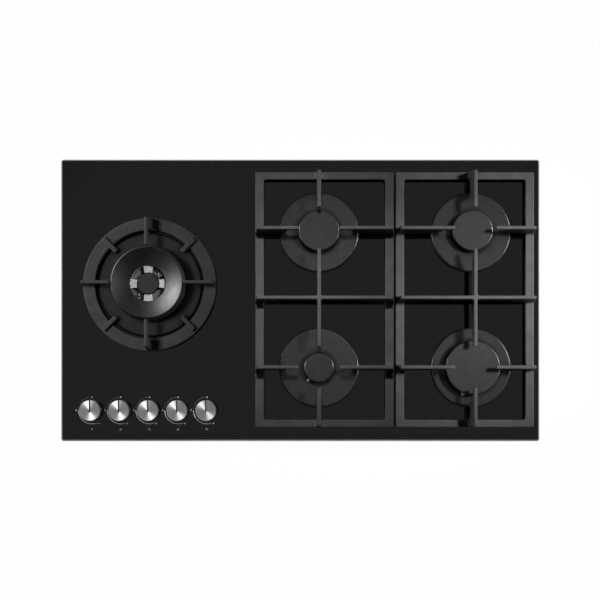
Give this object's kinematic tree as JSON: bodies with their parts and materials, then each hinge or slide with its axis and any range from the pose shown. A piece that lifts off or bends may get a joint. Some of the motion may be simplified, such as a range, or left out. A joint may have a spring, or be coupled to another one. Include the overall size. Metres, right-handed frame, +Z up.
{
  "type": "gas cooktop",
  "caption": "Flat built-in gas cooktop: black glass top with round burners under cast pan supports, a large double-ring wok burner at the left and a row of push-and-turn knobs in front of it.",
  "frame": {"origin": "centre of the worktop cut-out, on the plane of the worktop's top face, which is the underside of the compressed seal", "axes": "+X towards the right-hand edge as the cook sees it, +Y towards the rear, +Z up"},
  "size_m": [0.9, 0.53, 0.1075],
  "materials": {
    "black_glass": "polished black tempered glass",
    "foam_seal": "closed-cell foam",
    "galvanised": "zinc-coated sheet",
    "zinc_screws": "zinc-plated",
    "disc_enamel": "matte black enamel",
    "cap_enamel": "matte black enamel",
    "wok_cap_enamel": "semi-gloss black enamel",
    "burner_aluminium": "die-cast",
    "cast_iron": "matte black enamelled cast iron",
    "rubber": "moulded rubber",
    "knob_metal": "spun-brushed metal",
    "steel_pipe": "drawn steel",
    "brass": "turned brass",
    "copper": "copper capillary",
    "ceramic": "glazed white ceramic",
    "lead_insulation": "silicone-sheathed lead",
    "dark_plastic": "moulded",
    "white_plastic": "moulded",
    "pipe_aluminium": "drawn tube",
    "valve_alloy": "die-cast"
  },
  "bodies": {
    "root": {"glass_top": "black_glass", "worktop_seal": "foam_seal", "glass_frame": "galvanised", "bottom_tray": "galvanised", "m4_screws": "zinc_screws", "worktop_clamps": "galvanised", "clamp_screws": "zinc_screws", "burner_rails": "galvanised", "base_discs": "disc_enamel", "wok_base_disc": "disc_enamel", "wok_cup": "burner_aluminium", "jets": "brass", "spark_electrodes": "ceramic", "thermocouples": "copper", "ignition_leads": "lead_insulation", "ignition_module": "dark_plastic", "ignition_switches": "dark_plastic", "mains_terminal": "white_plastic", "gas_manifold": "steel_pipe", "inlet_elbow": "brass", "gas_pipes": "pipe_aluminium", "valve_bodies": "valve_alloy", "magnet_units": "brass", "knob_seals": "rubber", "cup_rear_left": "burner_aluminium", "cup_front_left": "burner_aluminium", "cup_rear_right": "burner_aluminium", "cup_front_right": "burner_aluminium"},
    "valve_plug_1": {"valve_plug_1": "brass"},
    "knob_1": {"knob_1": "knob_metal", "spindle_1": "steel_pipe"},
    "valve_plug_2": {"valve_plug_2": "brass"},
    "knob_2": {"knob_2": "knob_metal", "spindle_2": "steel_pipe"},
    "valve_plug_3": {"valve_plug_3": "brass"},
    "knob_3": {"knob_3": "knob_metal", "spindle_3": "steel_pipe"},
    "valve_plug_4": {"valve_plug_4": "brass"},
    "knob_4": {"knob_4": "knob_metal", "spindle_4": "steel_pipe"},
    "valve_plug_5": {"valve_plug_5": "brass"},
    "knob_5": {"knob_5": "knob_metal", "spindle_5": "steel_pipe"},
    "pan_support_left": {"pan_support_left": "cast_iron", "support_feet_left": "rubber"},
    "pan_support_right": {"pan_support_right": "cast_iron", "support_feet_right": "rubber"},
    "wok_support": {"wok_support": "cast_iron", "wok_support_feet": "rubber"},
    "crown_rear_left": {"crown_rear_left": "burner_aluminium"},
    "cap_rear_left": {"cap_rear_left": "cap_enamel"},
    "crown_front_left": {"crown_front_left": "burner_aluminium"},
    "cap_front_left": {"cap_front_left": "cap_enamel"},
    "crown_rear_right": {"crown_rear_right": "burner_aluminium"},
    "cap_rear_right": {"cap_rear_right": "cap_enamel"},
    "crown_front_right": {"crown_front_right": "burner_aluminium"},
    "cap_front_right": {"cap_front_right": "cap_enamel"},
    "wok_head": {"wok_head": "burner_aluminium"},
    "wok_outer_cap": {"wok_outer_cap": "wok_cap_enamel"},
    "wok_inner_cap": {"wok_inner_cap": "cap_enamel"}
  },
  "joints": [
    {"name": "knob_1_turn", "type": "hinge", "parent": "root", "child": "valve_plug_1", "pos_m": [-0.3915, -0.207, 0.02], "axis": [0, 0, 1], "range_deg": [0, 208]},
    {"name": "knob_1_push", "type": "slide", "parent": "valve_plug_1", "child": "knob_1", "axis": [0, 0, -1], "range_m": [0, 0.003], "stiffness_N_per_m": 1500, "springref_m": -0.003},
    {"name": "knob_2_turn", "type": "hinge", "parent": "root", "child": "valve_plug_2", "pos_m": [-0.3375, -0.207, 0.02], "axis": [0, 0, 1], "range_deg": [0, 208]},
    {"name": "knob_2_push", "type": "slide", "parent": "valve_plug_2", "child": "knob_2", "axis": [0, 0, -1], "range_m": [0, 0.003], "stiffness_N_per_m": 1500, "springref_m": -0.003},
    {"name": "knob_3_turn", "type": "hinge", "parent": "root", "child": "valve_plug_3", "pos_m": [-0.2835, -0.207, 0.02], "axis": [0, 0, 1], "range_deg": [0, 208]},
    {"name": "knob_3_push", "type": "slide", "parent": "valve_plug_3", "child": "knob_3", "axis": [0, 0, -1], "range_m": [0, 0.003], "stiffness_N_per_m": 1500, "springref_m": -0.003},
    {"name": "knob_4_turn", "type": "hinge", "parent": "root", "child": "valve_plug_4", "pos_m": [-0.2295, -0.207, 0.02], "axis": [0, 0, 1], "range_deg": [0, 208]},
    {"name": "knob_4_push", "type": "slide", "parent": "valve_plug_4", "child": "knob_4", "axis": [0, 0, -1], "range_m": [0, 0.003], "stiffness_N_per_m": 1500, "springref_m": -0.003},
    {"name": "knob_5_turn", "type": "hinge", "parent": "root", "child": "valve_plug_5", "pos_m": [-0.1755, -0.207, 0.02], "axis": [0, 0, 1], "range_deg": [0, 208]},
    {"name": "knob_5_push", "type": "slide", "parent": "valve_plug_5", "child": "knob_5", "axis": [0, 0, -1], "range_m": [0, 0.003], "stiffness_N_per_m": 1500, "springref_m": -0.003},
    {"name": "pan_support_left_lift", "type": "slide", "parent": "root", "child": "pan_support_left", "axis": [0, 0, 1], "range_m": [0, 0.08]},
    {"name": "pan_support_right_lift", "type": "slide", "parent": "root", "child": "pan_support_right", "axis": [0, 0, 1], "range_m": [0, 0.08]},
    {"name": "wok_support_lift", "type": "slide", "parent": "root", "child": "wok_support", "axis": [0, 0, 1], "range_m": [0, 0.08]},
    {"name": "crown_rear_left_lift", "type": "slide", "parent": "root", "child": "crown_rear_left", "axis": [0, 0, 1], "range_m": [0, 0.005]},
    {"name": "cap_rear_left_lift", "type": "slide", "parent": "crown_rear_left", "child": "cap_rear_left", "axis": [0, 0, 1], "range_m": [0, 0.006]},
    {"name": "crown_front_left_lift", "type": "slide", "parent": "root", "child": "crown_front_left", "axis": [0, 0, 1], "range_m": [0, 0.005]},
    {"name": "cap_front_left_lift", "type": "slide", "parent": "crown_front_left", "child": "cap_front_left", "axis": [0, 0, 1], "range_m": [0, 0.006]},
    {"name": "crown_rear_right_lift", "type": "slide", "parent": "root", "child": "crown_rear_right", "axis": [0, 0, 1], "range_m": [0, 0.005]},
    {"name": "cap_rear_right_lift", "type": "slide", "parent": "crown_rear_right", "child": "cap_rear_right", "axis": [0, 0, 1], "range_m": [0, 0.006]},
    {"name": "crown_front_right_lift", "type": "slide", "parent": "root", "child": "crown_front_right", "axis": [0, 0, 1], "range_m": [0, 0.005]},
    {"name": "cap_front_right_lift", "type": "slide", "parent": "crown_front_right", "child": "cap_front_right", "axis": [0, 0, 1], "range_m": [0, 0.006]},
    {"name": "wok_head_lift", "type": "slide", "parent": "root", "child": "wok_head", "axis": [0, 0, 1], "range_m": [0, 0.003]},
    {"name": "wok_outer_cap_lift", "type": "slide", "parent": "wok_head", "child": "wok_outer_cap", "axis": [0, 0, 1], "range_m": [0, 0.003]},
    {"name": "wok_inner_cap_lift", "type": "slide", "parent": "wok_head", "child": "wok_inner_cap", "axis": [0, 0, 1], "range_m": [0, 0.006]}
  ]
}
